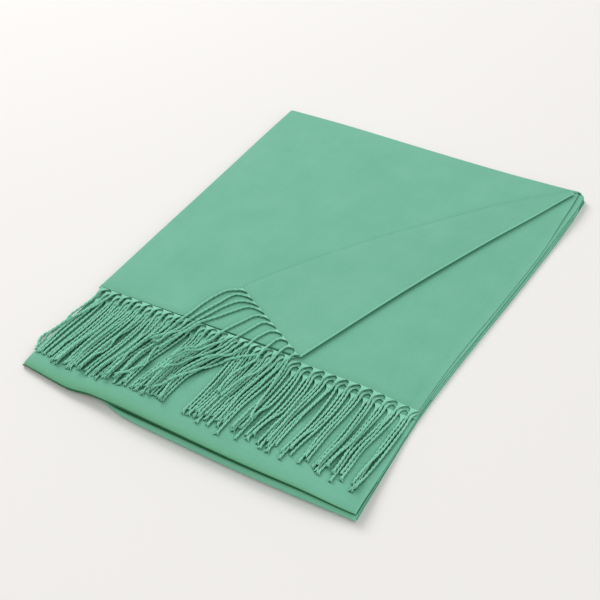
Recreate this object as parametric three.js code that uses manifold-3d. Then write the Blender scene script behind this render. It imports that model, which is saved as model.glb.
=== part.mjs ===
// A pashmina shawl with a twisted fringe, folded to an eighth and laid on a flat surface.
// Millimetres. X runs along the front fold, Y to the back fold, Z up.
// The shawl is folded crosswise, then lengthwise, then crosswise again, which gives 8 plies.
// From the bottom: underside, its partner, two more folded plies, then the four fringed plies.
// The top ply's right corner is turned back over the stack.

import * as THREE from "three";
import { mergeVertices } from "three/addons/utils/BufferGeometryUtils.js";
import Module from "manifold-3d";

const wasm = await Module();
wasm.setup();

// Cloth and ply sizes
const wall = 1.2; // cloth with its loft
const airGap = 0.4; // between two plies that lie on each other
const seam = 0.3; // between the stretches of one ply
const plyPitch = wall + airGap;
const plyCount = 8;
const stackHeight = plyCount * plyPitch - airGap;
const packHeight = stackHeight / 2 - airGap / 2; // four plies
const pairHeight = 2 * wall + airGap; // two plies pressed flat

// Heights of the middle of each ply where the stack lies flat
const firstPly = wall / 2;
const [undersideMid, , , , fourthMid, thirdMid, secondMid, topMid] = Array.from(
  { length: plyCount },
  (_, ply) => firstPly + ply * plyPitch,
);

// Fringe sizes
const tasselsPerPly = 28;
const tasselLength = 106;
const tasselWidth = 2.2;
const stripDepth = 3;
const toothLength = 6; // where the cloth's threads gather into the cord
const toothWidth = 7;
const notchDepth = 1; // of the strip between two teeth
const cordNeck = 0.55; // half width where a cord leaves its tooth

// Front folds: the crosswise fold of each half, seen as two noses
const pressedFrom = 122; // the plies lie flat behind this line
const crestDepth = 12; // a nose keeps its height this far back
const returnEnd = 40; // the lower ply of each nose ends here, inside the stack
const upperEnd = 150; // the upper nose's top ply ends here, under the fringed plies
const noseSetback = 2; // of the upper nose behind the lower one
const noseRow = 22; // the last straight row before a nose turns
const leftInset = 7.6; // of the inner plies, which leaves room for the outer ply's roll
const edgeRound = 5; // the upper fold's left end comes down within this
const edgeLip = 3.4;
const lipFrom = 15; // the lip lies on the lower fold behind this line
const tuckMost = 10;

// lower and upper: heights of the two noses. tuck: how far the lower nose hides under the upper.
// wrap: 1 where the upper nose reaches down to the surface
const frontTable = [
  { x: -176, lower: 2.8, upper: 5.5, tuck: 10, wrap: 1, front: -5.5 },
  { x: -120, lower: 2.8, upper: 9.5, tuck: 10, wrap: 1, front: -10 },
  { x: -92, lower: 3.8, upper: 11.5, tuck: 8.5, wrap: 0, front: -10 },
  { x: -60, lower: 6, upper: 11.4, tuck: 1, wrap: 0, front: -10 },
  { x: -20, lower: 7.8, upper: 10.2, tuck: 0, wrap: 0, front: -10.5 },
  { x: 60, lower: 8.4, upper: 8, tuck: 0, wrap: 0, front: -9.5 },
  { x: 120, lower: 9.2, upper: 6, tuck: 0, wrap: 0, front: -7 },
  { x: 176, lower: 9.4, upper: 4.2, tuck: 0, wrap: 0, front: -3 },
];

const backTable = [
  { x: -190, y: 489.5 },
  { x: -120, y: 494.5 },
  { x: -45, y: 497 },
  { x: 30, y: 499.5 },
  { x: 95, y: 503 },
  { x: 150, y: 508.5 },
  { x: 172, y: 512 },
];

const rightTable = [
  { y: -5, x: 174.5 },
  { y: 60, x: 170 },
  { y: 125, x: 166.5 },
  { y: 200, x: 167.5 },
  { y: 330, x: 172.5 },
  { y: 450, x: 176 },
  { y: 485, x: 175 },
  { y: 512, x: 171 },
];

// The turned corner: where its fold starts and ends, where the cloth's corner lands, and the bows
const foldStart = new THREE.Vector2(44, 127);
const foldTip = new THREE.Vector2(165.5, 503);
const cornerPoint = new THREE.Vector2(-54, 180);
const foldBow = -4.6;
const selvageBow = 17;
const rollRadius = 1.2; // of the ply's middle where the corner turns over
const settleLength = 14; // the turned cloth comes down from the roll within this length
const tipTighter = 0.35; // how much smaller the roll is at the tip
const lastShare = 0.965; // of the fold's run, where its last row lies

// Where each fringed ply ends, forward of the top ply's end
const endSteps = { top: 0, second: 1.5, third: 6, fourth: 11 };

const { cos, sin, PI, exp } = Math;
const clamp = (value) => Math.min(1, Math.max(0, value));
const mix = (from, to, share) => from + (to - from) * share;
const ease = (share) => 0.5 - 0.5 * cos(PI * clamp(share));
const steps = (count) => Array.from({ length: count + 1 }, (_, i) => i / count);

// A smooth curve through a table's rows
function readTable(rows, key, column, at) {
  const last = rows.length - 2;
  const i = Math.max(0, Math.min(last, rows.findIndex((row) => row[key] > at) - 1));
  const segment = at >= rows[last][key] ? last : i;
  const slope = (k) => {
    const a = rows[Math.max(0, k - 1)];
    const b = rows[Math.min(rows.length - 1, k + 1)];
    return (b[column] - a[column]) / (b[key] - a[key]);
  };
  const [p, q] = [rows[segment], rows[segment + 1]];
  const span = q[key] - p[key];
  const t = clamp((at - p[key]) / span);
  const rise = q[column] - p[column];
  const [m0, m1] = [slope(segment) * span, slope(segment + 1) * span];
  return p[column] + t * m0 + t * t * (3 * rise - 2 * m0 - m1) + t * t * t * (m0 + m1 - 2 * rise);
}

// The stack's outline in plan
const leftEdge = (y) => -(174.8 + 0.0285 * y);
const rightEdge = (y) => readTable(rightTable, "y", "x", y);
const backEdge = (x) => readTable(backTable, "x", "y", x);
const frontValue = (x, column) => readTable(frontTable, "x", column, x);
const frontEdge = (x) => frontValue(x, "front");
const rowSlope = 0.06;
const rootLine = (x) => 121.8 + rowSlope * x; // the end of the top ply, where its fringe starts
const fringeY = 118; // where the fringe's rows meet the left and right edges
const edgeTurn = 2; // the plies turn under within this of the left edge

// The folds' puff, 1 at the crest and 0 where the stack above presses the plies flat
function puff(x, y) {
  const behindCrest = y - frontEdge(x) - crestDepth;
  return 1 - ease(behindCrest / (pressedFrom - crestDepth));
}

const lowerTop = (x, y) => mix(pairHeight, frontValue(x, "lower"), puff(x, y));
const upperThickness = (x, y) => mix(pairHeight, frontValue(x, "upper"), puff(x, y));
// The surface that the fringe lies on
const bedTop = (x, y) => lowerTop(x, y) + airGap + upperThickness(x, y);

function meshOf(name, positions, indices, colour) {
  const geometry = new THREE.BufferGeometry();
  geometry.setAttribute("position", new THREE.Float32BufferAttribute(positions, 3));
  geometry.setIndex(indices);
  geometry.computeVertexNormals();
  const material = new THREE.MeshStandardMaterial({ color: colour, roughness: 0.85, metalness: 0 });
  const mesh = new THREE.Mesh(geometry, material);
  mesh.name = name;
  return mesh;
}

// A closed wall of cloth around a grid of points on its middle surface
function clothWall(name, grid, colour) {
  const rows = grid.length;
  const columns = grid[0].length;
  const at = (i, j) => grid[Math.max(0, Math.min(rows - 1, i))][Math.max(0, Math.min(columns - 1, j))];
  const positions = [];
  for (const side of [0.5, -0.5]) {
    for (let i = 0; i < rows; i++) {
      for (let j = 0; j < columns; j++) {
        const along = at(i + 1, j).clone().sub(at(i - 1, j));
        const across = at(i, j + 1).clone().sub(at(i, j - 1));
        const normal = across.cross(along).normalize();
        positions.push(...at(i, j).clone().addScaledVector(normal, side * wall).toArray());
      }
    }
  }
  const indices = [];
  const quad = (a, b, c, d) => indices.push(a, b, c, a, c, d);
  const index = (side, i, j) => side * rows * columns + i * columns + j;
  for (let i = 0; i < rows - 1; i++) {
    for (let j = 0; j < columns - 1; j++) {
      quad(index(0, i, j), index(0, i, j + 1), index(0, i + 1, j + 1), index(0, i + 1, j));
      quad(index(1, i, j), index(1, i + 1, j), index(1, i + 1, j + 1), index(1, i, j + 1));
    }
  }
  for (let j = 0; j < columns - 1; j++) {
    quad(index(0, 0, j), index(1, 0, j), index(1, 0, j + 1), index(0, 0, j + 1));
    const end = rows - 1;
    quad(index(0, end, j), index(0, end, j + 1), index(1, end, j + 1), index(1, end, j));
  }
  for (let i = 0; i < rows - 1; i++) {
    quad(index(0, i, 0), index(0, i + 1, 0), index(1, i + 1, 0), index(1, i, 0));
    const end = columns - 1;
    quad(index(0, i, end), index(1, i, end), index(1, i + 1, end), index(0, i + 1, end));
  }
  return meshOf(name, positions, outward(positions, indices), colour);
}

// Turns the faces round if they point inwards
function outward(positions, indices) {
  const point = (i) => new THREE.Vector3().fromArray(positions, 3 * i);
  let volume = 0;
  for (let i = 0; i < indices.length; i += 3) {
    const [a, b, c] = [0, 1, 2].map((k) => point(indices[i + k]));
    volume += a.dot(b.cross(c));
  }
  return volume > 0 ? indices : indices.reverse();
}

// The fold of the turned corner in plan, and the direction across it
function foldPoint(share) {
  const run = foldTip.clone().sub(foldStart);
  const across = new THREE.Vector2(run.y, -run.x).normalize();
  const point = foldStart.clone().addScaledVector(run, share);
  return point.addScaledVector(across, foldBow * sin(PI * share) - rollRadius - wall / 2);
}

function foldAcross(share) {
  const step = 0.01;
  const run = foldPoint(share + step).sub(foldPoint(share - step));
  return new THREE.Vector2(run.y, -run.x).normalize();
}

// Top ply: from its fringed end over the back fold and along the underside, rolled at the left
const foldShares = steps(8).map((share) => lastShare * share);
const turns = [0.25, 0.5, 0.75, 1].map((share) => ({ turn: share * PI }));
const backRadius = topMid - stackHeight / 2; // of the ply's middle round the back fold
const rollReach = 7; // in from the left edge, of the ply rolled under
const backRow = 490; // where the top ply's sides are read at the back fold
const underRows = [480, 330, 200, pressedFrom, 95, 68, returnEnd + 2].map((y) => ({ y }));

function topPly() {
  const rows = [];
  const flatRows = [...foldShares, 1].map((share) => ({ share }));
  for (const row of [...flatRows, ...turns, ...underRows]) {
    const onTop = row.share !== undefined;
    const share = onTop ? row.share : 1;
    const fold = foldPoint(share).addScaledVector(foldAcross(share), -seam);
    const yRow = row.y ?? backRow;
    const backEnd = backEdge(leftEdge(backRow)) - stackHeight / 2;
    const leftY = onTop ? mix(rootLine(leftEdge(fringeY)), backEnd, share) : yRow;
    const left = leftEdge(leftY);
    const turned = row.turn === undefined ? 0 : row.turn / PI;
    const right = onTop ? fold.x : mix(fold.x, rightEdge(yRow), row.y ? 1 : turned);
    const roll = row.y ? (bedTop(left + wall, row.y) - wall) / 2 : (topMid - fourthMid) / 2;
    const centreX = left + roll + wall / 2;
    const place = (x, drop) => {
      if (row.y) return new THREE.Vector3(x, row.y, undersideMid - drop);
      const endY = backEdge(x) - stackHeight / 2;
      if (!onTop) {
        const reach = backRadius + drop;
        const z = stackHeight / 2 + reach * cos(row.turn);
        return new THREE.Vector3(x, endY + reach * sin(row.turn), z);
      }
      const foldY = share < 1 ? fold.y : endY;
      const y = share < 1 ? mix(leftY, foldY, (x - left) / (right - left)) : endY;
      return new THREE.Vector3(x, y, topMid + drop);
    };
    const rolled = [1, 0.75, 0.5, 0.25].map((turn) =>
      place(centreX - roll * sin(turn * PI), roll * (cos(turn * PI) - 1)),
    );
    const flat = steps(5).map((across) => place(mix(centreX, right, across), 0));
    rows.push([place(left + rollReach, -2 * roll), ...rolled, ...flat]);
  }
  return clothWall("top_ply", rows, "#7bbda2");
}

// Turned corner: the top ply's right corner, rolled over the fold and laid on the ply
function turnedCorner() {
  const nearFold = 0.4; // draws the rows toward the fold
  const bowFullness = 0.6;
  const rows = foldShares.map((share) => {
    const fold = foldPoint(share);
    const across = foldAcross(share);
    const along = new THREE.Vector2(-across.y, across.x);
    const selvage = cornerPoint.clone().lerp(foldTip, share);
    const bowWay = foldTip.clone().sub(cornerPoint).normalize();
    const bow = selvageBow * sin(PI * share) ** bowFullness;
    selvage.add(new THREE.Vector2(-bowWay.y, bowWay.x).multiplyScalar(bow));
    const edge = selvage.sub(fold);
    const width = -edge.dot(across);
    const drift = edge.dot(along);
    const radius = rollRadius * (1 - tipTighter * share);
    const bend = PI * radius;
    const turns = [0, 0.25, 0.5, 0.75].map((turn) => turn * bend);
    const flats = steps(6).map((laid) => bend + width * laid * laid * (1 - nearFold * (1 - laid)));
    return [...turns, ...flats].map((reach) => {
      const laid = Math.max(0, reach - bend);
      const turn = Math.min(reach, bend) / radius;
      const sideways = reach < bend ? radius * sin(turn) : -laid;
      const rest = exp(-laid / settleLength);
      const lift = reach < bend ? radius * (1 - cos(turn)) : mix(plyPitch, 2 * radius, rest);
      const point = fold.clone().addScaledVector(across, sideways);
      point.addScaledVector(along, (drift * laid) / width);
      return new THREE.Vector3(point.x, point.y, topMid + lift);
    });
  });
  return clothWall("turned_corner", rows, "#74b99d");
}

const backTurn = 500; // where the inner plies' sides are read at the back fold

// Second ply: whole from its fringed end to the back fold and along over the underside
function secondPly() {
  const radius = secondMid - stackHeight / 2;
  const insideRoll = 3.4;
  const selvageInset = 0.5;
  const backInset = { depth: 2.5, from: 400, within: 100 };
  const flat = { from: 115, to: 492 };
  const flatRows = steps(5).map((share) => ({ share }));
  const rows = [...flatRows, ...turns, ...underRows].map((row) => {
    const y0 = row.share === undefined ? (row.y ?? backTurn) : mix(flat.from, flat.to, row.share);
    const left = leftEdge(y0) + insideRoll;
    const atBack = row.y ? 0 : backInset.depth * ease((y0 - backInset.from) / backInset.within);
    const right = rightEdge(y0) - selvageInset - atBack;
    return steps(10).map((across) => {
      const x = mix(left, right, across);
      const endY = backEdge(x) - stackHeight / 2;
      if (row.y) return new THREE.Vector3(x, row.y, lowerTop(x, row.y) - wall / 2);
      if (row.turn) {
        const z = stackHeight / 2 + radius * cos(row.turn);
        return new THREE.Vector3(x, endY + radius * sin(row.turn), z);
      }
      return new THREE.Vector3(x, mix(rootLine(x) - endSteps.second, endY, row.share), secondMid);
    });
  });
  return clothWall("second_ply", rows, "#76ba9c");
}

// The two crosswise folds at the front
const noseTurns = steps(6);
const upperRows = [upperEnd, pressedFrom, 104, 88, 72, 57, returnEnd + 1.5, returnEnd, noseRow];
const upperNose = { depthShare: 0.5, depthMore: 2.6, straight: 3 };
const lowerNose = { depthShare: 0.55 };

function upperColumns(share) {
  const place = (y) => {
    const inset = y > returnEnd ? leftInset : 0;
    return mix(leftEdge(y) + inset, rightEdge(y), share);
  };
  const x0 = place(0);
  const wrap = clamp(frontValue(x0, "wrap"));
  const low = mix(lowerTop(x0, 0) + airGap, seam, wrap);
  const top = bedTop(x0, frontEdge(x0) + crestDepth) - edgeDrop(x0, 0);
  const half = (top - low) / 2;
  const depth = upperNose.depthShare * half + upperNose.depthMore;
  const front = frontEdge(x0) + noseSetback * (1 - wrap);
  const topSide = upperRows.map((y) => {
    const x = place(y);
    return new THREE.Vector3(x, y, bedTop(x, y) - edgeDrop(x, y) - wall / 2);
  });
  const nose = noseTurns.map((turn) => {
    const y = front + depth - (depth - wall / 2) * sin(turn * PI);
    return new THREE.Vector3(x0, y, low + half + (half - wall / 2) * cos(turn * PI));
  });
  const under = [front + depth + upperNose.straight, noseRow, returnEnd].map((y) => {
    const x = place(y);
    return new THREE.Vector3(x, y, lowerTop(x, y) + airGap + wall / 2);
  });
  return [...topSide, ...nose, ...under];
}

// How far the upper fold's left end comes down
function edgeDrop(x, y) {
  if (y > returnEnd) return 0;
  const inside = clamp((x - leftEdge(y)) / edgeRound);
  const lip = edgeLip + (y > lipFrom ? lowerTop(x, y) : 0);
  return (bedTop(x, y) - lip) * (1 - Math.sqrt(1 - (1 - inside) ** 2));
}

function lowerColumns(share) {
  const place = (y) => mix(leftEdge(y) + edgeRound, rightEdge(y), share);
  const x0 = place(0);
  const height = frontValue(x0, "lower");
  const half = height / 2;
  const depth = lowerNose.depthShare * height;
  const front = frontEdge(x0) + clamp(frontValue(x0, "tuck") / tuckMost) * tuckMost;
  const underside = [returnEnd, noseRow].map((y) => new THREE.Vector3(place(y), y, wall / 2));
  const nose = noseTurns.map((turn) => {
    const y = front + depth - (depth - wall / 2) * sin(turn * PI);
    return new THREE.Vector3(x0, y, half - (half - wall / 2) * cos(turn * PI));
  });
  const topSide = [noseRow, returnEnd].map((y) => {
    const x = place(y);
    return new THREE.Vector3(x, y, lowerTop(x, y) - wall / 2);
  });
  return [...underside, ...nose, ...topSide];
}

// Manifold solids, for the one piece that is cut
function toSolid(mesh) {
  const geometry = mesh.geometry.clone();
  geometry.deleteAttribute("normal");
  const merged = mergeVertices(geometry, 1e-3);
  const vertProperties = merged.attributes.position.array;
  const triVerts = new Uint32Array(merged.index.array);
  return new wasm.Manifold(new wasm.Mesh({ numProp: 3, vertProperties, triVerts }));
}

function fromSolid(name, solid, colour) {
  const { vertProperties, triVerts } = solid.getMesh();
  return meshOf(name, vertProperties, [...triVerts], colour);
}

// A closed solid through sections of the same number of points, one at each station
function loft(name, sections, colour) {
  const size = sections[0].length;
  const positions = sections.flat().flatMap((point) => point.toArray());
  const indices = [];
  for (let i = 0; i < sections.length - 1; i++) {
    for (let j = 0; j < size; j++) {
      const [a, b] = [i * size + j, i * size + ((j + 1) % size)];
      indices.push(a, b, b + size, a, b + size, a + size);
    }
  }
  for (const [start, flip] of [[0, true], [(sections.length - 1) * size, false]]) {
    const outline = sections[start / size].map((point) => new THREE.Vector2(point.y, point.z));
    for (const [a, b, c] of THREE.ShapeUtils.triangulateShape(outline, [])) {
      indices.push(start + a, start + (flip ? c : b), start + (flip ? b : c));
    }
  }
  return meshOf(name, positions, outward(positions, indices), colour);
}

// Inner layers: the four hidden plies as one rounded solid, grooved between the plies at the right
function innerLayers() {
  const frontY = returnEnd + 2;
  const slopeYs = [frontY, 68, 95, pressedFrom];
  const bottomRest = pairHeight + airGap;
  const topRest = stackHeight - bottomRest;
  const radius = (topRest - bottomRest) / 2;
  const middle = stackHeight / 2;
  const rightInset = 1;
  const midRow = 330;
  const sections = steps(10).map((share) => {
    const at = (y) => mix(leftEdge(y) + leftInset, rightEdge(y) - rightInset, share);
    const point = (y, z) => new THREE.Vector3(at(y), y, z);
    const endY = backEdge(at(backTurn)) - middle;
    const rootY = rootLine(at(fringeY));
    const bottom = slopeYs.map((y) => point(y, lowerTop(at(y), y) + airGap));
    const backNose = steps(4).map((turn) =>
      point(endY + radius * sin(turn * PI), middle - radius * cos(turn * PI)),
    );
    const plyEnds = [
      point(midRow, topRest),
      point(rootY - endSteps.third, topRest),
      point(rootY - endSteps.third, topRest - wall - airGap / 2),
      point(rootY - endSteps.fourth, topRest - wall - airGap / 2),
      point(rootY - endSteps.fourth, packHeight + airGap),
      point(upperEnd + seam, packHeight + airGap),
      point(upperEnd + seam, packHeight - plyPitch),
    ];
    const underUpper = slopeYs.map((y) => point(y, bedTop(at(y), y) - plyPitch - seam)).reverse();
    return [...bottom, point(midRow, bottomRest), ...backNose, ...plyEnds, ...underUpper];
  });
  const body = toSolid(loft("body", sections, "#5fa486"));
  const grooveDepth = 2.5;
  const grooveRows = [200, midRow, 430];
  const grooveEnd = backEdge(rightEdge(fringeY)) - middle - 1;
  const grooves = [
    { z: packHeight - plyPitch, from: upperEnd + 3 },
    { z: packHeight, from: upperEnd + 3 },
    { z: packHeight + plyPitch, from: rootLine(rightEdge(fringeY)) + 1 },
  ];
  const cut = grooves.reduce((solid, { z, from }) => {
    const stations = [from, ...grooveRows, grooveEnd].map((y) => {
      const edge = rightEdge(y) - rightInset;
      return [
        new THREE.Vector3(edge - grooveDepth, z, y),
        new THREE.Vector3(edge + grooveDepth, z, y),
        new THREE.Vector3(edge + grooveDepth, z + airGap, y),
        new THREE.Vector3(edge - grooveDepth, z + airGap, y),
      ];
    });
    return solid.subtract(toSolid(grooveCutter(stations)));
  }, body);
  return fromSolid("inner_layers", cut, "#5fa486");
}

function grooveCutter(stations) {
  const positions = stations.flat().flatMap((point) => [point.x, point.z, point.y]);
  const indices = [];
  for (let i = 0; i < stations.length - 1; i++) {
    for (let j = 0; j < 4; j++) {
      const [a, b] = [4 * i + j, 4 * i + ((j + 1) % 4)];
      indices.push(a, b, b + 4, a, b + 4, a + 4);
    }
  }
  const end = 4 * (stations.length - 1);
  indices.push(0, 2, 1, 0, 3, 2, end, end + 1, end + 2, end, end + 2, end + 3);
  return meshOf("cutter", positions, outward(positions, indices), "#000000");
}

// Fringe: a strip parted from the ply's end, with a tooth for each cord and the cord itself
function fringe(name, tassels, colour) {
  // each tassel: root and way (the row's place and the way forward), halfPitch, path and halves
  const positions = [];
  const indices = [];
  const push = (point) => positions.push(...point.toArray()) / 3 - 1;
  const quad = (a, b, c, d) => indices.push(a, b, c, a, c, d);
  const up = new THREE.Vector3(0, 0, wall / 2);
  const pair = (point) => [push(point.clone().add(up)), push(point.clone().sub(up))];
  const backs = [];
  const fronts = [];
  for (const { root, way, side, halfPitch } of tassels) {
    const front = root.clone().addScaledVector(way, stripDepth);
    const spots = [-halfPitch, -toothWidth / 2, toothWidth / 2];
    for (const [k, spot] of spots.entries()) {
      if (k === 0 && backs.length) continue;
      const notch = k === 0 ? notchDepth : 0;
      backs.push(pair(root.clone().addScaledVector(side, spot)));
      fronts.push(pair(front.clone().addScaledVector(side, spot).addScaledVector(way, -notch)));
    }
    backs.push(pair(root.clone().addScaledVector(side, halfPitch)));
    fronts.push(pair(front.clone().addScaledVector(side, halfPitch).addScaledVector(way, -notchDepth)));
  }
  for (let k = 0; k < backs.length - 1; k++) {
    const [b0, b1, f0, f1] = [backs[k], backs[k + 1], fronts[k], fronts[k + 1]];
    quad(b0[0], f0[0], f1[0], b1[0]);
    quad(b0[1], b1[1], f1[1], f0[1]);
    quad(b0[0], b1[0], b1[1], b0[1]);
    if (k % 3 !== 1) quad(f0[0], f0[1], f1[1], f1[0]);
  }
  const last = backs.length - 1;
  quad(backs[0][0], backs[0][1], fronts[0][1], fronts[0][0]);
  quad(backs[last][0], fronts[last][0], fronts[last][1], backs[last][1]);
  tassels.forEach(({ path, halves }, t) => {
    const [left, right] = [fronts[3 * t + 1], fronts[3 * t + 2]];
    let ring = [left[0], left[1], right[1], right[0]];
    path.forEach((point, i) => {
      const ahead = path[Math.min(path.length - 1, i + 1)].clone().sub(path[Math.max(0, i - 1)]);
      const sideways = new THREE.Vector3(ahead.y, -ahead.x, 0).normalize();
      const upwards = ahead.clone().cross(sideways).normalize();
      if (upwards.z < 0) upwards.negate();
      const [wide, high] = [sideways, upwards].map((way) => way.clone().multiplyScalar(halves[i]));
      const corner = (s, u) => push(point.clone().addScaledVector(wide, s).addScaledVector(high, u));
      const next = [corner(1, 1), corner(1, -1), corner(-1, -1), corner(-1, 1)];
      for (let j = 0; j < 4; j++) {
        const k = (j + 1) % 4;
        quad(ring[j], ring[k], next[k], next[j]);
      }
      ring = next;
    });
    quad(...ring);
  });
  return meshOf(name, positions, outward(positions, indices), colour);
}

// Cords of two plies lie side by side on one level, gathered in soft bunches that never cross
const cordGap = 0.45; // under a level of cords
const levels = {
  lower: {
    lift: cordGap + tasselWidth / 2,
    comesDown: { after: 0, within: 12 },
    waves: [{ length: 45, size: 2.2, phase: 0.4 }, { length: 118, size: 2, phase: 2.1 }],
    sway: { length: 80, size: 1.6, phase: 1 },
  },
  upper: {
    lift: 2 * cordGap + 1.5 * tasselWidth,
    comesDown: { after: 10, within: 18 },
    waves: [{ length: 52, size: 2.6, phase: 2.6 }, { length: 96, size: 2, phase: 0.3 }],
    sway: { length: 83, size: 1.6, phase: 3 },
  },
};
const wave = ({ length, size, phase }, x) => size * sin((2 * PI * x) / length + phase);
// A scatter between -1 and 1
const loose = (n) => sin(12.9898 * n + 4.1) * 0.5 + sin(7.233 * n) * 0.5;

const rowStart = leftEdge(fringeY) + edgeTurn;
const rowInset = 0.5;
const rowEnd = rightEdge(fringeY) - rowInset;
const halfway = 0.5; // of a tassel's pitch
const tasselPitch = (rowEnd - rowStart) / (tasselsPerPly + halfway);
const endsFrom = 8; // no cord ends further forward
const endScatter = 3;
const plySeed = 7; // parts the scatter of one ply from the next
const gatheredBy = 0.87; // of a cord's run, where its bunch has gathered
const neckShare = 0.18; // of a cord's run, where it has its full width

function straightTassels(ply, mid, level, count, shift, pieces) {
  const step = endSteps[ply];
  return Array.from({ length: count }, (_, k) => {
    const x = rowStart + (k + halfway + shift) * tasselPitch;
    const rootY = rootLine(x) - step - seam;
    const root = new THREE.Vector3(x, rootY, mid);
    const way = new THREE.Vector3(0, -1, 0);
    const side = new THREE.Vector3(1, rowSlope, 0);
    const start = rootY - stripDepth - toothLength;
    const end = Math.max(endsFrom, rootY - tasselLength) + endScatter * loose(k + plySeed * step);
    const path = steps(pieces).map((share) => {
      const y = mix(start, end, share);
      const gather = level.waves.reduce((sum, one) => sum + wave(one, x), 0);
      const along = x + gather * ease(share / gatheredBy) + wave(level.sway, x) * sin(PI * share);
      const bed = bedTop(along, y);
      const laid = ease((start - y - level.comesDown.after) / level.comesDown.within);
      const z = mix(mid + bed - packHeight, bed + level.lift, laid);
      return new THREE.Vector3(along, y, z);
    });
    const halves = steps(pieces).map((share) => mix(cordNeck, tasselWidth / 2, ease(share / neckShare)));
    return { root, way, side, halfPitch: tasselPitch / 2, path, halves };
  });
}

// The turned corner's cords cross over the others on a level of their own
const cornerEnds = [
  { x: -91, y: 74 },
  { x: -86, y: 66 },
  { x: -81, y: 58 },
  { x: -75, y: 50 },
  { x: -66, y: 42 },
  { x: -58, y: 33 },
  { x: -48, y: 27 },
  { x: -38, y: 22 },
  { x: -12, y: 24 },
  { x: 30, y: 28 },
];

const cornerRow = { from: 0.015, to: 0.975 }; // shares of the turned corner's end that hold cords
const bendReach = 26; // a cord runs on from its tooth for about this length before it bends
const lastBend = { x: 0.12, y: 0.4 }; // how far back toward its start a cord bends for the last time
const rowRise = 1; // a corner cord's rise above its row
const overCordsBy = 24; // past the top ply's end, where a cord has climbed on the others

function cornerTassels(mid) {
  const fold = foldPoint(0);
  const row = cornerPoint.clone().sub(fold);
  const way = new THREE.Vector3(-row.y, row.x, 0).normalize();
  const side = new THREE.Vector3(-row.x, -row.y, 0).normalize();
  const pitch = ((cornerRow.to - cornerRow.from) * row.length()) / cornerEnds.length;
  return cornerEnds.map((end, k) => {
    const share = (k + halfway) / cornerEnds.length;
    const flat = cornerPoint.clone().lerp(fold, mix(cornerRow.from, cornerRow.to, share));
    const root = new THREE.Vector3(flat.x, flat.y, mid).addScaledVector(way, seam);
    const start = root.clone().addScaledVector(way, stripDepth + toothLength);
    const bend = start.clone().addScaledVector(way, bendReach);
    const finish = new THREE.Vector3(end.x, end.y, 0);
    const before = new THREE.Vector3(mix(end.x, start.x, lastBend.x), mix(end.y, start.y, lastBend.y), 0);
    const curve = new THREE.CubicBezierCurve3(start, bend, before, finish);
    const path = steps(8).map((along) => {
      const point = curve.getPoint(along);
      const bed = bedTop(point.x, point.y);
      const overPly = bed + (mid - packHeight) + rowRise;
      const overCords = bed + levels.upper.lift + tasselWidth + cordGap;
      const past = ease((rootLine(point.x) - point.y) / overCordsBy - 1);
      point.z = mix(along === 0 ? mid : overPly, overCords, past);
      return point;
    });
    const halves = steps(8).map((along) => mix(cordNeck, tasselWidth / 2, ease(along / neckShare)));
    return { root, way, side, halfPitch: pitch / 2, path, halves };
  });
}

// Assembly
const upperStations = [0, 0.004, 0.014, 0.03, ...steps(13).slice(1)];
const lowerStations = steps(13);
const topTassels = 18;
const cornerMid = topMid + plyPitch;
const straight = (ply, mid, level, count, shift, pieces, colour) =>
  fringe(`fringe_${ply}_ply`, straightTassels(ply, mid, level, count, shift, pieces), colour);

const shawl = new THREE.Group();
shawl.add(
  topPly(),
  turnedCorner(),
  secondPly(),
  innerLayers(),
  clothWall("upper_front_fold", upperStations.map(upperColumns), "#6fb394"),
  clothWall("lower_front_fold", lowerStations.map(lowerColumns), "#69ab8b"),
  straight("top", topMid, levels.upper, topTassels, 0, 6, "#5aa383"),
  straight("second", secondMid, levels.upper, tasselsPerPly, halfway, 6, "#55a07f"),
  straight("third", thirdMid, levels.lower, tasselsPerPly, halfway, 5, "#4e9878"),
  straight("fourth", fourthMid, levels.lower, tasselsPerPly, 0, 5, "#479171"),
  fringe("fringe_turned_corner", cornerTassels(cornerMid), "#61a98a"),
);

// The origin is the middle of the underside
const box = new THREE.Box3().setFromObject(shawl);
const centre = box.getCenter(new THREE.Vector3());
shawl.position.set(-centre.x, -centre.y, 0);

export default shawl;
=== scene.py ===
# Folded pashmina shawl: thin folded cloth, twisted tassels, camera and soft light.
# Shapes are worked out in millimetres on the fold's own axes and set down in metres in the frame.
import math
import random

import bpy
import numpy as np
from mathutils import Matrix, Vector


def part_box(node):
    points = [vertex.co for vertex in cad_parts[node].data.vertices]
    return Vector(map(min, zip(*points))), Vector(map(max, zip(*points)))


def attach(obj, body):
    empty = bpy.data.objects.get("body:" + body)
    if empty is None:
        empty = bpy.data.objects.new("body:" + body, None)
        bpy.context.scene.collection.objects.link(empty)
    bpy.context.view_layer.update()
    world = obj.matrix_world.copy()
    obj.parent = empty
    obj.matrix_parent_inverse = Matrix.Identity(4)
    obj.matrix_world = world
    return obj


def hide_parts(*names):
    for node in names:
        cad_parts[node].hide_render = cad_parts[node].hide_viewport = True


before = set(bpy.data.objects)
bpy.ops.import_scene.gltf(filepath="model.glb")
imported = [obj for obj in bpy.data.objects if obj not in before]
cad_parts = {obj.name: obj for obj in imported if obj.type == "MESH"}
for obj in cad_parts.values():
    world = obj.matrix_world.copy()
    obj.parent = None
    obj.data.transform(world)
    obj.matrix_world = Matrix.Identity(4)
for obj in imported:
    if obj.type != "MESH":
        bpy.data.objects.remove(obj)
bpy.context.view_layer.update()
mm = 0.001

# The fold's own axes start at the middle of the front fold
plan = {"leftReach": 188.75, "underEdge": 42, "undersideReach": 0.8}
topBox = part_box("top_ply")
origin = Vector((topBox[0].x / mm + plan["leftReach"], topBox[0].y / mm - plan["underEdge"], 0))


def toFrame(point):
    return (Vector(point) + origin) * mm


print("frame loaded, fold axes at", [round(value, 2) for value in origin])

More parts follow.
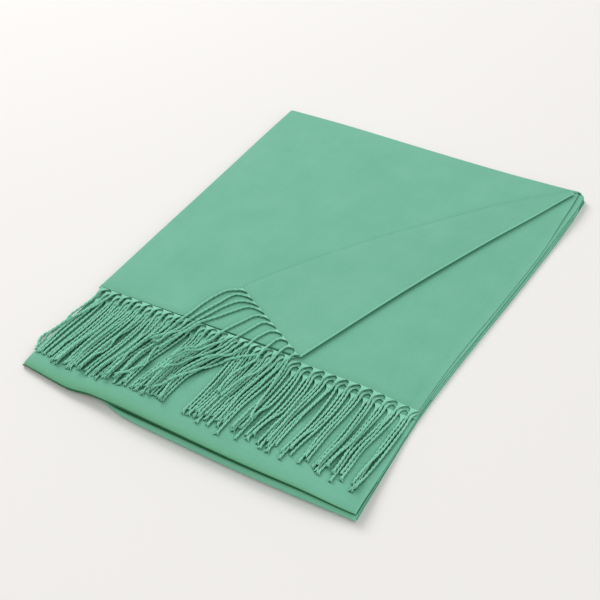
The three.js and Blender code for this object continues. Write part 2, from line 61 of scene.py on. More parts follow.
# Stack of eight plies, as packed
stack = {
    "wall": 1.2,
    "gap": 0.4,
    "height": 12.4,
    "pair": 2.8,
    "cloth": 1.05,
    "pressedFrom": 122,
    "crest": 12,
    "returnEnd": 40,
    "upperEnd": 150,
    "noseSetback": 2,
    "rollFrom": 18,
    "leftAtFront": 174.8,
    "leftSlope": 0.0285,
    "rootAtMiddle": 121.8,
    "rootSlope": 0.06,
}
plyHeights = {"underside": 0.6, "fourth": 7.0, "third": 8.6, "second": 10.2, "top": 11.8}
plyPitch = stack["wall"] + stack["gap"]
bevelled = {"width": 0.3, "angle": 50}

frontRows = [
    {"x": -176, "lower": 2.8, "upper": 5.5, "tuck": 10, "wrap": 1, "front": -5.5},
    {"x": -120, "lower": 2.8, "upper": 9.5, "tuck": 10, "wrap": 1, "front": -10},
    {"x": -92, "lower": 3.8, "upper": 11.5, "tuck": 8.5, "wrap": 0, "front": -10},
    {"x": -60, "lower": 6, "upper": 11.4, "tuck": 1, "wrap": 0, "front": -10},
    {"x": -20, "lower": 7.8, "upper": 10.2, "tuck": 0, "wrap": 0, "front": -10.5},
    {"x": 60, "lower": 8.4, "upper": 8, "tuck": 0, "wrap": 0, "front": -9.5},
    {"x": 120, "lower": 9.2, "upper": 6, "tuck": 0, "wrap": 0, "front": -7},
    {"x": 176, "lower": 9.4, "upper": 4.2, "tuck": 0, "wrap": 0, "front": -3},
]
backRows = [
    {"x": -190, "y": 489.5},
    {"x": -120, "y": 494.5},
    {"x": -45, "y": 497},
    {"x": 30, "y": 499.5},
    {"x": 95, "y": 503},
    {"x": 150, "y": 508.5},
    {"x": 172, "y": 512},
]
rightRows = [
    {"y": -5, "x": 174.5},
    {"y": 60, "x": 170},
    {"y": 125, "x": 166.5},
    {"y": 200, "x": 167.5},
    {"y": 330, "x": 172.5},
    {"y": 450, "x": 176},
    {"y": 485, "x": 175},
    {"y": 512, "x": 171},
]


def clamp(value):
    return min(1.0, max(0.0, value))


def mix(start, end, share):
    return start + (end - start) * share


def ease(share):
    return 0.5 - 0.5 * math.cos(math.pi * clamp(share))


def steps(count):
    return [i / count for i in range(count + 1)]


def readRows(rows, key, column, at):
    last = len(rows) - 2
    segment = last
    for i in range(last + 1):
        if rows[i + 1][key] > at:
            segment = i
            break
    low, high = rows[segment], rows[segment + 1]
    span = high[key] - low[key]
    t = clamp((at - low[key]) / span)

    def slope(k):
        a, b = rows[max(0, k - 1)], rows[min(len(rows) - 1, k + 1)]
        return (b[column] - a[column]) / (b[key] - a[key]) * span

    rise = high[column] - low[column]
    m0, m1 = slope(segment), slope(segment + 1)
    return low[column] + t * m0 + t * t * (3 * rise - 2 * m0 - m1) + t**3 * (m0 + m1 - 2 * rise)


def leftEdge(y):
    return -(stack["leftAtFront"] + stack["leftSlope"] * y)


def rightEdge(y):
    return readRows(rightRows, "y", "x", y)


def backEdge(x):
    return readRows(backRows, "x", "y", x)


def frontValue(x, column):
    return readRows(frontRows, "x", column, x)


def rootLine(x):
    return stack["rootAtMiddle"] + stack["rootSlope"] * x


def puff(x, y):
    behind = y - frontValue(x, "front") - stack["crest"]
    return 1 - ease(behind / (stack["pressedFrom"] - stack["crest"]))


def lowerTop(x, y):
    return mix(stack["pair"], frontValue(x, "lower"), puff(x, y))


def bedTop(x, y):
    return lowerTop(x, y) + stack["gap"] + mix(stack["pair"], frontValue(x, "upper"), puff(x, y))


# The upper fold rolls over slowly from its crest, as a quarter of a long ellipse
def noseSink(x, y, tall):
    front = frontValue(x, "front") + stack["noseSetback"] * (1 - clamp(frontValue(x, "wrap")))
    out = clamp((stack["rollFrom"] - y) / (stack["rollFrom"] - front))
    return tall * (1 - math.sqrt(1 - out * out))


# The plies lie closer together toward their open edges at the right: shares of their height
press = {
    "within": 60,
    "front": 0.72,
    "least": 0.5,
    "back": 0.95,
    "frontTo": 45,
    "backFrom": 400,
    "backWithin": 100,
    "bedEnds": 95,
    "bedFades": 20,
}


def pressAt(x, y):
    least = mix(press["front"], press["least"], ease(y / press["frontTo"]))
    least = mix(least, press["back"], ease((y - press["backFrom"]) / press["backWithin"]))
    return mix(1, least, ease((x - rightEdge(y)) / press["within"] + 1))


def pressEdge(piece):
    for vertex in piece.data.vertices:
        x, y, z = vertex.co / mm - origin
        if x < rightEdge(y) - press["within"]:
            continue
        bed = mix(bedTop(x, y), stack["height"], ease((y - press["bedEnds"]) / press["bedFades"]))
        vertex.co.z = (min(z, bed) * pressAt(x, y) + max(0, z - bed)) * mm


# Soft troughs and ridges, given one by one: both ends, width and depth
creases = [
    {"start": (-150, 470), "end": (-60, 300), "width": 16, "depth": -0.5},
    {"start": (-172, 300), "end": (-163, 190), "width": 7, "depth": -0.7},
    {"start": (-60, 420), "end": (40, 330), "width": 20, "depth": 0.45},
    {"start": (-120, 240), "end": (-40, 205), "width": 13, "depth": -0.4},
    {"start": (30, 470), "end": (110, 440), "width": 12, "depth": 0.4},
    {"start": (-30, 360), "end": (20, 250), "width": 11, "depth": -0.35},
    {"start": (-165, 160), "end": (-110, 140), "width": 9, "depth": 0.35},
    {"start": (120, 330), "end": (150, 210), "width": 9, "depth": -0.45},
    {"start": (95, 190), "end": (160, 165), "width": 12, "depth": 0.4},
]
creaseFade = (0.12, 0.88)


def creaseAt(x, y):
    total = 0.0
    for one in creases:
        (x0, y0), (x1, y1) = one["start"], one["end"]
        dx, dy = x1 - x0, y1 - y0
        along = clamp(((x - x0) * dx + (y - y0) * dy) / (dx * dx + dy * dy))
        away = math.hypot(x - x0 - along * dx, y - y0 - along * dy)
        fade = math.sin(math.pi * mix(*creaseFade, along))
        total += one["depth"] * math.exp(-((away / one["width"]) ** 2)) * fade
    return total


# Slow swell of the stack, the same for all plies and less near the surface it lies on
swells = {
    "high": 0.5,
    "alongX": 61,
    "startX": 1.2,
    "alongY": 83,
    "startY": 0.4,
    "slantHigh": 0.35,
    "slant": 1.4,
    "alongSlant": 57,
    "from": 118,
    "within": 60,
}


def swell(x, y, z):
    across = math.sin(x / swells["alongX"] + swells["startX"])
    straight = across * math.sin(y / swells["alongY"] + swells["startY"])
    slanting = math.sin((x + swells["slant"] * y) / swells["alongSlant"])
    slow = swells["high"] * straight + swells["slantHigh"] * slanting
    behind = ease((y - swells["from"]) / swells["within"])
    return (slow + creaseAt(x, y)) * clamp(z / stack["height"]) * behind


def deselect():
    if bpy.context.object and bpy.context.object.mode != "OBJECT":
        bpy.ops.object.mode_set(mode="OBJECT")
    bpy.ops.object.select_all(action="DESELECT")


def pick(piece):
    deselect()
    piece.select_set(True)
    bpy.context.view_layer.objects.active = piece


# A grid primitive laid point by point, with its own lengths as the UV map, then given its thickness
def layCloth(name, rows, thick):
    columns = len(rows[0]) - 1
    lengths = len(rows) - 1
    deselect()
    bpy.ops.mesh.primitive_grid_add(x_subdivisions=columns, y_subdivisions=lengths, size=1)
    piece = bpy.context.object
    piece.name = name
    places = np.array([[tuple(toFrame(point)) for point in row] for row in rows])
    across = np.zeros(places.shape[:2])
    down = np.zeros(places.shape[:2])
    across[:, 1:] = np.cumsum(np.linalg.norm(np.diff(places, axis=1), axis=2), axis=1)
    down[1:, :] = np.cumsum(np.linalg.norm(np.diff(places, axis=0), axis=2), axis=0)
    mesh = piece.data
    spot = {}
    for vertex in mesh.vertices:
        spot[vertex.index] = (round((vertex.co.y + 0.5) * lengths), round((vertex.co.x + 0.5) * columns))
    for loop in mesh.loops:
        i, j = spot[loop.vertex_index]
        mesh.uv_layers.active.data[loop.index].uv = (across[i, j], down[i, j])
    for vertex in mesh.vertices:
        i, j = spot[vertex.index]
        vertex.co = places[i, j]
    pick(piece)
    bpy.ops.object.mode_set(mode="EDIT")
    bpy.ops.mesh.select_all(action="SELECT")
    bpy.ops.mesh.normals_make_consistent(inside=False)
    bpy.ops.object.mode_set(mode="OBJECT")
    solid = piece.modifiers.new("thickness", "SOLIDIFY")
    solid.thickness = thick * mm
    solid.offset = 0
    bpy.ops.object.modifier_apply(modifier=solid.name)
    pressEdge(piece)
    return piece


def softEdges(piece):
    pick(piece)
    bevel = piece.modifiers.new("edges", "BEVEL")
    bevel.width = bevelled["width"] * mm
    bevel.segments = 2
    bevel.limit_method = "ANGLE"
    bevel.angle_limit = math.radians(bevelled["angle"])
    bpy.ops.object.modifier_apply(modifier=bevel.name)
    bpy.ops.object.shade_smooth_by_angle(angle=math.radians(bevelled["angle"]))


def newGroup(name, inputs, outputs):
    group = bpy.data.node_groups.new(name, "ShaderNodeTree")
    for label, kind, value in inputs:
        socket = group.interface.new_socket(label, in_out="INPUT", socket_type=kind)
        if value is not None:
            socket.default_value = value
    for label, kind in outputs:
        group.interface.new_socket(label, in_out="OUTPUT", socket_type=kind)
    enter = group.nodes.new("NodeGroupInput")
    leave = group.nodes.new("NodeGroupOutput")
    return group, enter, leave


def addNode(tree, kind, **settings):
    node = tree.nodes.new(kind)
    for key, value in settings.items():
        setattr(node, key, value)
    return node


def fill(node, **values):
    for key, value in values.items():
        node.inputs[key.replace("_", " ")].default_value = value
    return node


def addRange(tree, value, **limits):
    node = fill(addNode(tree, "ShaderNodeMapRange"), **limits)
    tree.links.new(value, node.inputs["Value"])
    return node


def addMix(tree, factor, first, second):
    node = addNode(tree, "ShaderNodeMix", data_type="RGBA")
    tree.links.new(factor, node.inputs["Factor"])
    for label, value in (("A", first), ("B", second)):
        if isinstance(value, tuple):
            node.inputs[label].default_value = value
        else:
            tree.links.new(value, node.inputs[label])
    return node.outputs["Result"]


# Fine twill with a brushed face: ribs on the cloth's own lengths, and nap and tone from noise
weaveForm = {
    "ribs": {"Distortion": 0.6, "Detail": 1.0},
    "nap": {"Scale": 900.0, "Detail": 3.0, "Roughness": 0.6},
    "cloud": {"Scale": 26.0, "Detail": 4.0, "Roughness": 0.55},
    "streak": {"Scale": 1.0, "Detail": 3.0, "Roughness": 0.6},
    "stretch": {"Scale": (420.0, 22.0, 60.0)},
    "tone": {"From_Min": 0.45, "From_Max": 1.0},
    "dull": {"To_Min": 0.62, "To_Max": 0.86},
    "ribShare": 0.55,
    "streakShare": 0.45,
}


def buildTwill():
    group, enter, leave = newGroup(
        "brushedTwill",
        [
            ("Cloth", "NodeSocketVector", None),
            ("Place", "NodeSocketVector", None),
            ("Threads", "NodeSocketFloat", 1900.0),
            ("Mottle", "NodeSocketFloat", 0.5),
        ],
        [("Tone", "NodeSocketFloat"), ("Height", "NodeSocketFloat"), ("Dullness", "NodeSocketFloat")],
    )
    link = group.links.new
    ribs = fill(addNode(group, "ShaderNodeTexWave", bands_direction="DIAGONAL"), **weaveForm["ribs"])
    link(enter.outputs["Cloth"], ribs.inputs["Vector"])
    link(enter.outputs["Threads"], ribs.inputs["Scale"])
    nap = fill(addNode(group, "ShaderNodeTexNoise"), **weaveForm["nap"])
    cloud = fill(addNode(group, "ShaderNodeTexNoise"), **weaveForm["cloud"])
    streak = fill(addNode(group, "ShaderNodeTexNoise"), **weaveForm["streak"])
    stretch = fill(addNode(group, "ShaderNodeMapping"), **weaveForm["stretch"])
    link(enter.outputs["Cloth"], stretch.inputs["Vector"])
    link(stretch.outputs["Vector"], streak.inputs["Vector"])
    link(enter.outputs["Place"], nap.inputs["Vector"])
    link(enter.outputs["Place"], cloud.inputs["Vector"])
    raised = addNode(group, "ShaderNodeMath", operation="MULTIPLY_ADD")
    raised.inputs[1].default_value = weaveForm["ribShare"]
    link(ribs.outputs["Fac"], raised.inputs[0])
    link(nap.outputs["Fac"], raised.inputs[2])
    link(raised.outputs[0], leave.inputs["Height"])
    both = addNode(group, "ShaderNodeMath", operation="MULTIPLY_ADD")
    both.inputs[1].default_value = weaveForm["streakShare"]
    link(streak.outputs["Fac"], both.inputs[0])
    link(cloud.outputs["Fac"], both.inputs[2])
    tone = addRange(group, both.outputs[0], **weaveForm["tone"])
    eased = addNode(group, "ShaderNodeMath", operation="MULTIPLY")
    link(tone.outputs["Result"], eased.inputs[0])
    link(enter.outputs["Mottle"], eased.inputs[1])
    link(eased.outputs[0], leave.inputs["Tone"])
    dull = addRange(group, nap.outputs["Fac"], **weaveForm["dull"])
    link(dull.outputs["Result"], leave.inputs["Dullness"])
    return group


twill = buildTwill()

# What all finishes share: gloss, how far a face leans toward the front before painted shade sets in, and
# how far toward the right before painted light sets in
finishing = {
    "gloss": {"Sheen_Roughness": 0.45, "Specular_IOR_Level": 0.25},
    "frontShading": {"From_Min": -0.03, "From_Max": -0.45},
    "sideLight": {"From_Min": 0.08, "From_Max": 0.85},
    "level": {"From_Min": 0.3, "From_Max": 0.9},
    "hollowSamples": 8,
    "reliefDepth": 0.0003,
}


def clothMaterial(name, look):
    material = bpy.data.materials.new(name)
    material.use_nodes = True
    tree = material.node_tree
    shader = tree.nodes["Principled BSDF"]
    fill(shader, Sheen_Weight=look["sheen"], Sheen_Tint=look["sheenTint"], **finishing["gloss"])
    weave = addNode(tree, "ShaderNodeGroup")
    weave.node_tree = twill
    weave.inputs["Threads"].default_value = look["threads"]
    weave.inputs["Mottle"].default_value = look["mottle"]
    lengths = addNode(tree, "ShaderNodeUVMap")
    place = addNode(tree, "ShaderNodeTexCoord")
    link = tree.links.new
    link(lengths.outputs["UV"], weave.inputs["Cloth"])
    link(place.outputs["Object"], weave.inputs["Place"])
    colour = addMix(tree, weave.outputs["Tone"], look["deep"], look["pale"])
    facing = addNode(tree, "ShaderNodeNewGeometry")
    axes = addNode(tree, "ShaderNodeSeparateXYZ")
    link(facing.outputs["Normal"], axes.inputs[0])
    # Painted shade: faces toward the front are mixed toward a darker, yellower green
    frontShading = addRange(tree, axes.outputs["Y"], To_Max=look["frontShadeShare"], **finishing["frontShading"])
    folded = addMix(tree, frontShading.outputs["Result"], colour, look["folded"])
    # Painted light: faces toward the right are mixed toward the lighter side colour
    sideLight = addRange(tree, axes.outputs["X"], **finishing["sideLight"])
    sideways = addMix(tree, sideLight.outputs["Result"], folded, look["side"])
    # Painted shade in hollows: ambient occlusion mixes the colour toward a dark green, less on upright
    # faces
    hollowShade = addNode(tree, "ShaderNodeAmbientOcclusion", samples=finishing["hollowSamples"])
    fill(hollowShade, Distance=look["hollowReach"])
    exposed = addRange(tree, hollowShade.outputs["AO"], From_Min=look["hollowFrom"])
    level = addRange(tree, axes.outputs["Z"], **finishing["level"])
    fill(level, To_Min=look["hollowToSide"], To_Max=look["hollowTo"])
    link(level.outputs["Result"], exposed.inputs["From Max"])
    shaded = addMix(tree, exposed.outputs["Result"], look["hollowShade"], sideways)
    link(shaded, shader.inputs["Base Color"])
    link(weave.outputs["Dullness"], shader.inputs["Roughness"])
    bump = fill(addNode(tree, "ShaderNodeBump"), Strength=look["relief"], Distance=finishing["reliefDepth"])
    link(weave.outputs["Height"], bump.inputs["Height"])
    link(bump.outputs["Normal"], shader.inputs["Normal"])
    return material


# Each look: the cloth's two tones, painted shade on faces toward the front, painted light on faces toward
# the right, and painted shade in hollows
clothLook = {
    "deep": (0.145, 0.44, 0.305, 1),
    "pale": (0.18, 0.495, 0.355, 1),
    "folded": (0.135, 0.41, 0.235, 1),
    "frontShadeShare": 1.0,
    "side": (0.3, 0.76, 0.56, 1),
    "hollowShade": (0.045, 0.23, 0.13, 1),
    "hollowReach": 0.012,
    "hollowFrom": 0.2,
    "hollowTo": 1.0,
    "hollowToSide": 0.4,
    "sheen": 0.12,
    "sheenTint": (0.75, 1, 0.88, 1),
    "threads": 1900.0,
    "mottle": 0.8,
    "relief": 0.35,
}
# Cords: painted shade in the valleys between strands and the gaps between cords
cordLook = {
    "deep": (0.225, 0.62, 0.445, 1),
    "pale": (0.31, 0.75, 0.56, 1),
    "folded": (0.2, 0.57, 0.385, 1),
    "frontShadeShare": 0.5,
    "side": (0.24, 0.63, 0.45, 1),
    "hollowShade": (0.001, 0.055, 0.022, 1),
    "hollowReach": 0.003,
    "hollowFrom": 0.13,
    "hollowTo": 0.55,
    "hollowToSide": 0.55,
    "sheen": 0.2,
    "sheenTint": (0.75, 1, 0.88, 1),
    "threads": 2600.0,
    "mottle": 1.0,
    "relief": 0.5,
}
# Front folds: the same cloth with a shorter, darker painted hollow shade
foldLook = {
    **clothLook,
    "hollowShade": (0.005, 0.12, 0.035, 1),
    "hollowReach": 0.006,
    "hollowFrom": 0.4,
    "hollowTo": 0.75,
}
# Lower fold: a lighter copy of the cloth as painted light, with less painted shade toward the front
lowerLook = {
    **foldLook,
    "deep": (0.17, 0.51, 0.345, 1),
    "pale": (0.205, 0.57, 0.4, 1),
    "frontShadeShare": 0.35,
    "hollowToSide": 0.45,
}
clothGreen = clothMaterial("mintTwill", clothLook)
foldGreen = clothMaterial("mintFold", foldLook)
lowerGreen = clothMaterial("mintLowerFold", lowerLook)
cordGreen = clothMaterial("mintCord", cordLook)
print("materials made")

# The turned corner's fold in plan
corner = {
    "foldStart": (44, 127),
    "foldTip": (165.5, 503),
    "point": (-54, 180),
    "foldBow": -4.6,
    "selvageBow": 17,
    "bowFullness": 0.6,
    "roll": 1.2,
    "settle": 14,
    "slopeOver": 0.01,
    "lastShare": 0.99,
}
foldStart, foldTip = Vector(corner["foldStart"]), Vector(corner["foldTip"])
cornerPoint = Vector(corner["point"])


def foldPoint(share):
    run = foldTip - foldStart
    across = Vector((run.y, -run.x)).normalized()
    bow = corner["foldBow"] * math.sin(math.pi * share) - corner["roll"] - stack["wall"] / 2
    return foldStart + run * share + across * bow


def foldAcross(share):
    near = corner["slopeOver"]
    run = foldPoint(share + near) - foldPoint(share - near)
    return Vector((run.y, -run.x)).normalized()


# Top cloth: fringed end, back fold and underside, rolled at the lengthwise fold
topCloth = {
    "rows": 44,
    "columns": 50,
    "backTurns": 10,
    "rollTurns": 10,
    "rollReach": 7,
    "frontLeftAt": 110,
    "backLeft": -188,
    "backRow": 490,
    "tipFrom": 0.9,
    "tipWithin": 0.1,
    "swellEnd": 0.08,
    "undersideRows": [484, 470, 440, 400, 350, 300, 250, 200, 160, 122, 95, 68, 54, 40.2],
}


def buildTopCloth():
    middle = stack["height"] / 2
    topMid, fourthMid = plyHeights["top"], plyHeights["fourth"]
    backRadius = topMid - middle
    shares = [{"share": share} for share in steps(topCloth["rows"])]
    turns = [{"turn": share * math.pi} for share in steps(topCloth["backTurns"])[1:]]
    unders = [{"y": y} for y in topCloth["undersideRows"]]
    grid = []
    for row in shares + turns + unders:
        onTop = "share" in row
        share = row.get("share", 1)
        under = "y" in row
        fold = foldPoint(share)
        rootY = rootLine(leftEdge(topCloth["frontLeftAt"]))
        leftY = mix(rootY, backEdge(topCloth["backLeft"]) - middle, share)
        yRow = row.get("y", topCloth["backRow"])
        left = leftEdge(leftY if onTop else yRow)
        turned = 1 if under else row.get("turn", 0) / math.pi
        right = fold.x if onTop else mix(fold.x, rightEdge(yRow) + plan["undersideReach"], turned)
        roll = (topMid - fourthMid) / 2
        if under:
            roll = (bedTop(left + stack["wall"], row["y"]) - stack["wall"]) / 2
        centreX = left + roll + stack["wall"] / 2

        def place(x, drop):
            if under:
                return (x, row["y"], plyHeights["underside"] - drop)
            endY = backEdge(x) - middle
            if not onTop:
                reach = backRadius + drop
                return (x, endY + reach * math.sin(row["turn"]), middle + reach * math.cos(row["turn"]))
            y = endY
            if share < 1:
                reachY = mix(fold.y, endY, ease((share - topCloth["tipFrom"]) / topCloth["tipWithin"]))
                y = mix(leftY, reachY, clamp((x - left) / (right - left)))
            z = topMid + drop
            return (x, y, z + swell(x, y, z) * ease((1 - share) / topCloth["swellEnd"]))

        rolled = [
            place(centreX - roll * math.sin(turn * math.pi), roll * (math.cos(turn * math.pi) - 1))
            for turn in steps(topCloth["rollTurns"])[:0:-1]
        ]
        flat = [place(mix(centreX, right, across), 0) for across in steps(topCloth["columns"])]
        grid.append([place(left + topCloth["rollReach"], -2 * roll)] + rolled + flat)
    return layCloth("topCloth", grid, stack["cloth"])


topPiece = buildTopCloth()
softEdges(topPiece)
topPiece.data.materials.append(clothGreen)
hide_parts("top_ply")
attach(topPiece, "root")
print("top cloth laid")

# Turned corner: rolled over the diagonal fold and laid back, a little loose along its selvage
turnedCorner = {
    "rows": 60,
    "bends": 12,
    "flats": 34,
    "tipTighter": 0.35,
    "puffed": 1.2,
    "puffAt": 26,
    "puffWidth": 20,
}


def cornerSpot(share, reach, width, drift, radius):
    fold, across = foldPoint(share), foldAcross(share)
    along = Vector((-across.y, across.x))
    bend = math.pi * radius
    laid = max(0, reach - bend)
    turn = min(reach, bend) / radius
    sideways = radius * math.sin(turn) if reach < bend else -laid
    rest = math.exp(-laid / corner["settle"])
    lift = radius * (1 - math.cos(turn)) if reach < bend else mix(plyPitch, 2 * radius, rest)
    spot = fold + across * sideways + along * (drift * laid / width)
    z = plyHeights["top"] + lift
    fromPuff = (laid - turnedCorner["puffAt"]) / turnedCorner["puffWidth"]
    loose = turnedCorner["puffed"] * math.exp(-(fromPuff**2)) * math.sin(math.pi * share) ** 2
    return (spot.x, spot.y, z + loose + swell(spot.x, spot.y, z))


def cornerEdge(share):
    fold, across = foldPoint(share), foldAcross(share)
    along = Vector((-across.y, across.x))
    selvage = cornerPoint.lerp(foldTip, share)
    bowWay = (foldTip - cornerPoint).normalized()
    bow = corner["selvageBow"] * math.sin(math.pi * share) ** corner["bowFullness"]
    selvage += Vector((-bowWay.y, bowWay.x)) * bow
    edge = selvage - fold
    return -edge.dot(across), edge.dot(along)


def buildTurnedCorner():
    grid = []
    for step in steps(turnedCorner["rows"]):
        share = corner["lastShare"] * step
        width, drift = cornerEdge(share)
        radius = corner["roll"] * (1 - turnedCorner["tipTighter"] * share)
        bend = math.pi * radius
        reaches = [turn * bend for turn in steps(turnedCorner["bends"])[:-1]]
        reaches += [bend + width * laid for laid in steps(turnedCorner["flats"])]
        grid.append([cornerSpot(share, reach, width, drift, radius) for reach in reaches])
    return layCloth("turnedCorner", grid, stack["cloth"])


cornerPiece = buildTurnedCorner()
softEdges(cornerPiece)
cornerPiece.data.materials.append(clothGreen)
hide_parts("turned_corner")
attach(cornerPiece, "root")
print("turned corner laid")

# Second cloth and the two inner cloths: each runs from its fringed end round the back and forward again
foldedPlies = [
    {"ply": "second", "stop": 40.2, "edge": 3.2, "wave": 0.35, "phase": 0.4, "inset": 3.4},
    {"ply": "third", "stop": 40.2, "edge": 1.3, "wave": 0.4, "phase": 2.2, "inset": 7.8},
    {"ply": "fourth", "stop": 150.1, "edge": 0.6, "wave": 0.3, "phase": 4.4, "inset": 7.8},
]
plyEnds = {"fourth": 11, "third": 6, "second": 1.5, "top": 0}
foldedGrid = {
    "rows": 36,
    "backTurns": 8,
    "columns": 34,
    "topFrom": 115,
    "topTo": 492,
    "backRow": 500,
    "swellEnd": 0.08,
    "lastRow": 8,
    "undersideRows": [484, 460, 430, 390, 350, 300, 250, 200, 160, 122, 95, 68, 54],
}
tipInset = {"from": 330, "within": 160, "depth": 4}
selvageWaves = {"long": 47, "short": 19, "shortShare": 0.6, "underPhase": 2.4, "underShare": 0.4}


def selvageX(ply, y, under):
    long = math.sin(y / selvageWaves["long"] + ply["phase"] + selvageWaves["underPhase"] * under)
    short = math.sin(y / selvageWaves["short"] + ply["phase"])
    wander = ply["wave"] * (long + selvageWaves["shortShare"] * short)
    if under:
        return rightEdge(y) + plan["undersideReach"] / 2 + selvageWaves["underShare"] * wander
    atTip = ease((y - tipInset["from"]) / tipInset["within"]) if ply["name"] == "secondCloth" else 0
    return rightEdge(y) - ply["edge"] - tipInset["depth"] * atTip + wander


def buildFoldedPly(ply):
    middle = stack["height"] / 2
    plyMid = plyHeights[ply["ply"]]
    radius = plyMid - middle
    stops = [y for y in foldedGrid["undersideRows"] if y > ply["stop"] + foldedGrid["lastRow"]]
    rows = [{"share": share} for share in steps(foldedGrid["rows"])]
    rows += [{"turn": share * math.pi} for share in steps(foldedGrid["backTurns"])[1:]]
    rows += [{"y": y} for y in stops + [ply["stop"]]]
    grid = []
    for row in rows:
        y0 = row.get("y", foldedGrid["backRow"])
        if "share" in row:
            y0 = mix(foldedGrid["topFrom"], foldedGrid["topTo"], row["share"])
        left = leftEdge(y0) + ply["inset"]
        right = selvageX(ply, y0, "y" in row)
        line = []
        for across in steps(foldedGrid["columns"]):
            x = mix(left, right, across)
            endY = backEdge(x) - middle
            if "y" in row:
                z = stack["height"] - plyMid
                if ply["name"] == "secondCloth":
                    z = lowerTop(x, row["y"]) - stack["wall"] / 2
                elif row["y"] < stack["pressedFrom"]:
                    z = lowerTop(x, row["y"]) + stack["gap"] + stack["wall"] / 2
                line.append((x, row["y"], z))
            elif "turn" in row:
                turn = row["turn"]
                line.append((x, endY + radius * math.sin(turn), middle + radius * math.cos(turn)))
            else:
                y = mix(rootLine(x) - plyEnds[ply["ply"]], endY, row["share"])
                fade = ease((1 - row["share"]) / foldedGrid["swellEnd"])
                line.append((x, y, plyMid + swell(x, y, plyMid) * fade))
        grid.append(line)
    return layCloth(ply["name"], grid, stack["cloth"])


for ply in foldedPlies:
    ply["name"] = ply["ply"] + "Cloth"
    piece = buildFoldedPly(ply)
    softEdges(piece)
    piece.data.materials.append(clothGreen)
    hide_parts("second_ply" if ply["name"] == "secondCloth" else "inner_layers")
    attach(piece, "root")
print("inner cloths laid")

# Front folds: two noses, one on the other
frontFolds = {
    "columns": 90,
    "towardLeft": 1.15,
    "flats": 34,
    "noseTurns": 12,
    "rollTurns": 16,
    "edgeRound": 5,
    "lip": 3.4,
    "returnRows": [15, 22, 31, 40],
}
upperNose = {"deep": 0.5, "deeper": 2.6, "back": 3, "wrapGap": 0.3}
upperInset = {"depth": 7.6, "before": 6, "within": 12}
lowerNose = {"deep": 0.55, "tucked": 10}


def edgeDrop(x, y):
    if y > stack["returnEnd"]:
        return 0
    inside = clamp((x - leftEdge(y)) / frontFolds["edgeRound"])
    lip = frontFolds["lip"] + (lowerTop(x, y) if y > frontFolds["returnRows"][0] else 0)
    return (bedTop(x, y) - lip) * (1 - math.sqrt(1 - (1 - inside) ** 2))


def upperColumn(share):
    half = stack["wall"] / 2

    def placeX(y):
        inside = ease((y - stack["returnEnd"] + upperInset["before"]) / upperInset["within"])
        return mix(leftEdge(y) + upperInset["depth"] * inside, rightEdge(y), share)

    x0 = placeX(0)
    wrap = clamp(frontValue(x0, "wrap"))
    low = mix(lowerTop(x0, 0) + stack["gap"], upperNose["wrapGap"], wrap)
    top = bedTop(x0, frontValue(x0, "front") + stack["crest"]) - edgeDrop(x0, 0)
    tall = (top - low) / 2
    depth = upperNose["deep"] * tall + upperNose["deeper"]
    front = frontValue(x0, "front") + stack["noseSetback"] * (1 - wrap)
    column = []
    for step in steps(frontFolds["flats"]):
        y = mix(stack["upperEnd"], stack["rollFrom"], step)
        x = placeX(y)
        column.append((x, y, bedTop(x, y) - edgeDrop(x, y) - half))
    long = stack["rollFrom"] - front - half
    for turn in steps(frontFolds["rollTurns"])[1:-1]:
        y = stack["rollFrom"] - long * math.sin(turn * math.pi / 2)
        x = placeX(y)
        crest = mix(bedTop(x, y) - edgeDrop(x, y), top, ease(turn * 2))
        column.append((x, y, crest - half - (tall - half) * (1 - math.cos(turn * math.pi / 2))))
    for turn in steps(frontFolds["noseTurns"]):
        y = front + depth - (depth - half) * math.cos(turn * math.pi / 2)
        column.append((x0, y, low + tall - (tall - half) * math.sin(turn * math.pi / 2)))
    for y in [front + depth + upperNose["back"]] + frontFolds["returnRows"]:
        x = placeX(y)
        column.append((x, y, lowerTop(x, y) + stack["gap"] + half))
    return column


def lowerColumn(share):
    half = stack["wall"] / 2

    def placeX(y):
        return mix(leftEdge(y) + frontFolds["edgeRound"], rightEdge(y) + plan["undersideReach"], share)

    x0 = placeX(0)
    height = frontValue(x0, "lower")
    tall = height / 2
    depth = lowerNose["deep"] * height
    tuck = clamp(frontValue(x0, "tuck") / lowerNose["tucked"])
    front = frontValue(x0, "front") + lowerNose["tucked"] * tuck
    column = [(placeX(y), y, half) for y in frontFolds["returnRows"][::-1]]
    for turn in steps(frontFolds["noseTurns"]):
        y = front + depth - (depth - half) * math.sin(turn * math.pi)
        column.append((x0, y, tall - (tall - half) * math.cos(turn * math.pi)))
    for y in frontFolds["returnRows"]:
        x = placeX(y)
        column.append((x, y, lowerTop(x, y) - half))
    return column


def buildFrontFold(name, columnAt, node, finish):
    shares = [share ** frontFolds["towardLeft"] for share in steps(frontFolds["columns"])]
    piece = layCloth(name, [columnAt(share) for share in shares], stack["cloth"])
    softEdges(piece)
    piece.data.materials.append(finish)
    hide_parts(node)
    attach(piece, "root")
    return piece


upperPiece = buildFrontFold("upperFold", upperColumn, "upper_front_fold", foldGreen)
lowerPiece = buildFrontFold("lowerFold", lowerColumn, "lower_front_fold", lowerGreen)
print("front folds laid")

